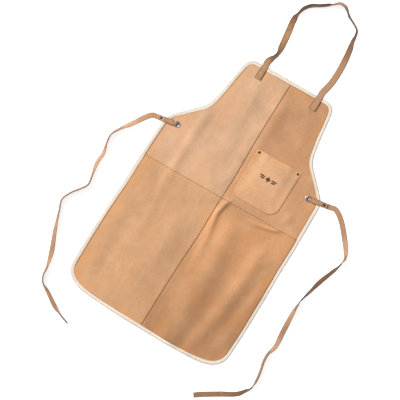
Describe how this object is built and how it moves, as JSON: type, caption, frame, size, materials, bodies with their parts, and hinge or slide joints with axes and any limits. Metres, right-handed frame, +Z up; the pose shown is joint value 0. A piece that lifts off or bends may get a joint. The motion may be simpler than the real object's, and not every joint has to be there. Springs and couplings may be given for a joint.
{
  "type": "welding apron",
  "caption": "Split-leather bib apron with bound edges, chest pocket, sewn-on neck strap and waist ties through metal eyelets, lying flat.",
  "frame": {"origin": "on the floor under the centre of the apron's own box, its free straps left out", "axes": "+Z up from the floor and out of the apron's face, +Y from the hem to the bib, +X to the side that carries the pocket"},
  "size_m": [0.8862, 1.3656, 0.022],
  "materials": {
    "panel_leather": "natural tan split leather, matt and slightly napped",
    "strap_leather": "tan strap leather with darker cut edges",
    "cotton_tape": "cream woven cotton tape",
    "sewing_thread": "tan twisted sewing thread",
    "nickel_plate": "nickel-plated, lightly scuffed",
    "bronzed_steel": "dark bronzed steel, satin"
  },
  "bodies": {
    "bib": {"left_bib_panel": "panel_leather", "right_bib_panel": "panel_leather", "pocket": "panel_leather", "bib_binding": "cotton_tape", "bib_centre_thread": "sewing_thread", "left_waist_thread": "sewing_thread", "right_waist_thread": "sewing_thread", "left_armhole_thread": "sewing_thread", "right_armhole_thread": "sewing_thread", "top_edge_thread": "sewing_thread", "left_side_thread": "sewing_thread", "right_side_thread": "sewing_thread", "pocket_thread": "sewing_thread", "left_neck_strap_thread": "sewing_thread", "right_neck_strap_thread": "sewing_thread", "left_pocket_rivet_cap": "bronzed_steel", "left_pocket_rivet_back": "bronzed_steel", "right_pocket_rivet_cap": "bronzed_steel", "right_pocket_rivet_back": "bronzed_steel", "left_eyelet": "nickel_plate", "left_eyelet_washer": "nickel_plate", "right_eyelet": "nickel_plate", "right_eyelet_washer": "nickel_plate", "left_neck_strap_end": "strap_leather", "right_neck_strap_end": "strap_leather"},
    "skirt": {"left_skirt_panel": "panel_leather", "right_skirt_panel": "panel_leather", "skirt_binding": "cotton_tape", "skirt_centre_thread": "sewing_thread", "skirt_binding_thread": "sewing_thread"},
    "neck_loop": {"neck_strap_loop": "strap_leather"},
    "left_tie": {"left_tie_loop": "strap_leather", "left_tie_rivet_cap": "bronzed_steel", "left_tie_rivet_back": "bronzed_steel"},
    "left_tail": {"left_tie_tail": "strap_leather"},
    "right_tie": {"right_tie_loop": "strap_leather", "right_tie_rivet_cap": "bronzed_steel", "right_tie_rivet_back": "bronzed_steel"},
    "right_tail": {"right_tie_tail": "strap_leather"}
  },
  "joints": [
    {"name": "waist_fold", "type": "hinge", "parent": "bib", "child": "skirt", "pos_m": [0, 0.02531, 0.0057], "axis": [-0.9992, -0.04, 0], "range_deg": [0, 135]},
    {"name": "neck_fold", "type": "hinge", "parent": "bib", "child": "neck_loop", "pos_m": [0, 0.47381, 0.0056], "axis": [0.9992, 0.04, 0], "range_deg": [0, 100]},
    {"name": "left_tie_swing", "type": "hinge", "parent": "bib", "child": "left_tie", "pos_m": [-0.246, 0.15247, 0.003], "axis": [0, 0, -1], "range_deg": [0, 60]},
    {"name": "left_tie_lift", "type": "hinge", "parent": "left_tie", "child": "left_tail", "pos_m": [-0.32358, 0.13809, 0.0005], "axis": [-0.8192, 0.5736, 0], "range_deg": [0, 70]},
    {"name": "right_tie_swing", "type": "hinge", "parent": "bib", "child": "right_tie", "pos_m": [0.246, 0.17215, 0.003], "axis": [0, 0, 1], "range_deg": [0, 60]},
    {"name": "right_tie_lift", "type": "hinge", "parent": "right_tie", "child": "right_tail", "pos_m": [0.32358, 0.18653, 0.0005], "axis": [-0.6691, -0.7431, 0], "range_deg": [0, 70]}
  ]
}
